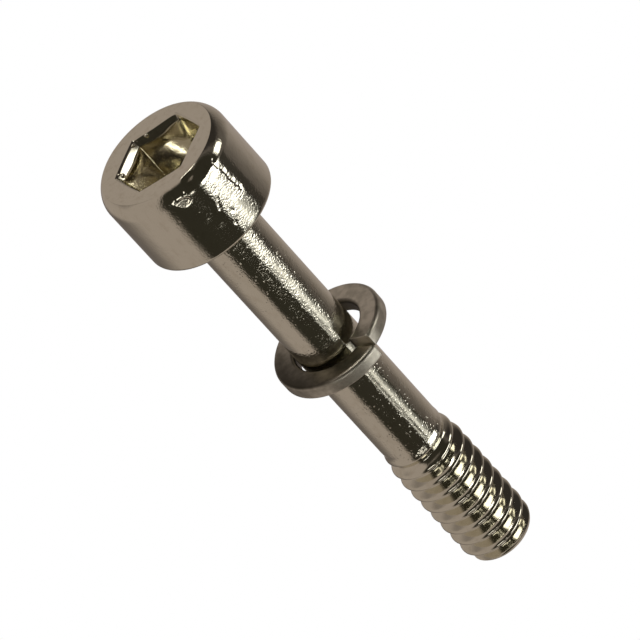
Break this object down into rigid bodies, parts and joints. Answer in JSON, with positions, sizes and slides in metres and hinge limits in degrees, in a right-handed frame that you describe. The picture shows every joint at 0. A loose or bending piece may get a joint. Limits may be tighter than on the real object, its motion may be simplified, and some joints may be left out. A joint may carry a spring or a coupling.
{
  "type": "socket head screw with lock washer",
  "caption": "Round-headed screw with a hex socket, a plain shank and a threaded tip, carrying a split spring washer that slides on the shank.",
  "frame": {"origin": "centre of the head's flat face, on which the screw stands", "axes": "+Z along the shank from the head to the threaded tip, +X through a corner of the hex socket"},
  "size_m": [0.0084, 0.0084, 0.0355],
  "materials": {
    "nickel_plate": "bright nickel plate, lightly pitted and scuffed",
    "spring_steel": "satin"
  },
  "bodies": {
    "screw": {"cap_screw": "nickel_plate"},
    "washer": {"lock_washer": "spring_steel"}
  },
  "joints": [
    {"name": "washer_slide", "type": "slide", "parent": "screw", "child": "washer", "axis": [0, 0, 1], "range_m": [-0.01077, 0.0078]}
  ]
}
